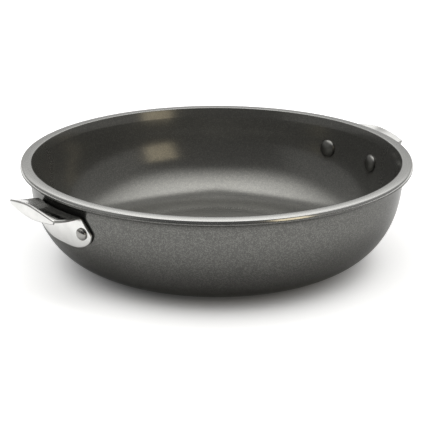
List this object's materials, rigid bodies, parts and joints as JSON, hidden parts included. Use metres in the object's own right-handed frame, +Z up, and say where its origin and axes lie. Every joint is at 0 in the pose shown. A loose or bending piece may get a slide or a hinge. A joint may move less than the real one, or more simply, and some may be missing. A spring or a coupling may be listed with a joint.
{
  "type": "saute pan",
  "caption": "Deep round saute pan with a curved wall, a flat turned-out rim and riveted sheet-steel grab handles on opposite sides.",
  "frame": {"origin": "centre of the flat base, on the surface that the pan stands on", "axes": "+Z up along the bowl's axis, +X out through the right handle"},
  "size_m": [0.316, 0.281, 0.073],
  "materials": {
    "pan_coating": "dark grey non-stick coating over thick aluminium, satin with a fine metallic sparkle",
    "handle_steel": "polished stainless sheet",
    "rivet_metal": "satin solid rivets"
  },
  "bodies": {
    "root": {"pan_body": "pan_coating", "right_handle": "handle_steel", "left_handle": "handle_steel", "right_rivet_a": "rivet_metal", "right_rivet_b": "rivet_metal", "left_rivet_a": "rivet_metal", "left_rivet_b": "rivet_metal"}
  },
  "joints": []
}
